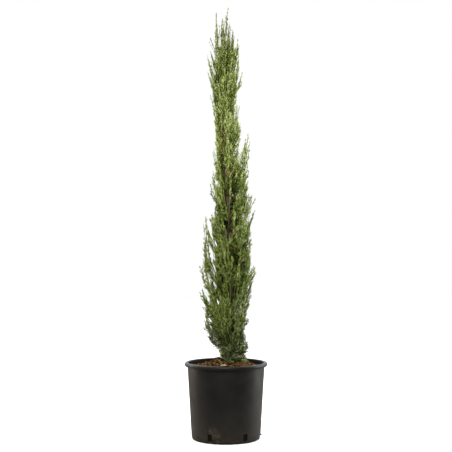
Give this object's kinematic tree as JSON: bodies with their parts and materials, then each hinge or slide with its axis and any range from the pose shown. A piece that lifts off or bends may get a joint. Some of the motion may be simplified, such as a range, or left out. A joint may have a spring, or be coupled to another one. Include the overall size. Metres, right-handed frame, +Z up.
{
  "type": "potted italian cypress",
  "caption": "Young columnar evergreen: a slim trunk with upright shoots of fine scale-leaf sprays, standing in a round black nursery pot filled with bark mulch.",
  "frame": {"origin": "middle of the pot's flat underside, at floor level", "axes": "+Z up along the plant, -Y is the front that the picture shows, +X is the picture's right"},
  "size_m": [0.292, 0.292, 1.518],
  "materials": {
    "pot": "satin black",
    "potting_mix": "rough bark chips",
    "bark": "rough bark",
    "foliage": "matte green"
  },
  "bodies": {
    "root": {"bough_broad_1": "bark", "bough_broad_2": "bark", "bough_broad_3": "bark", "bough_broad_4": "bark", "bough_broad_5": "bark", "bough_low_1": "bark", "bough_low_2": "bark", "bough_low_3": "bark", "bough_low_4": "bark", "bough_low_5": "bark", "foliage_broad_1": "foliage", "foliage_broad_2": "foliage", "foliage_broad_3": "foliage", "foliage_broad_4": "foliage", "foliage_broad_5": "foliage", "foliage_crest_1": "foliage", "foliage_crest_2": "foliage", "foliage_crest_3": "foliage", "foliage_crest_4": "foliage", "foliage_crest_5": "foliage", "foliage_foot_1": "foliage", "foliage_foot_2": "foliage", "foliage_foot_3": "foliage", "foliage_foot_4": "foliage", "foliage_leader": "foliage", "foliage_low_1": "foliage", "foliage_low_2": "foliage", "foliage_low_3": "foliage", "foliage_low_4": "foliage", "foliage_low_5": "foliage", "foliage_middle_1": "foliage", "foliage_middle_2": "foliage", "foliage_middle_3": "foliage", "foliage_middle_4": "foliage", "foliage_middle_5": "foliage", "foliage_neck_1": "foliage", "foliage_neck_2": "foliage", "foliage_neck_3": "foliage", "foliage_neck_4": "foliage", "foliage_skirt_1": "foliage", "foliage_skirt_2": "foliage", "foliage_skirt_3": "foliage", "foliage_skirt_4": "foliage", "foliage_tuft_1": "foliage", "foliage_tuft_2": "foliage", "foliage_tuft_3": "foliage", "foliage_tuft_4": "foliage", "foliage_upper_1": "foliage", "foliage_upper_2": "foliage", "foliage_upper_3": "foliage", "foliage_upper_4": "foliage", "foliage_waist_1": "foliage", "foliage_waist_2": "foliage", "foliage_waist_3": "foliage", "foliage_waist_4": "foliage", "foliage_waist_5": "foliage", "pot": "pot", "potting_mix": "potting_mix", "trunk": "bark"}
  },
  "joints": []
}
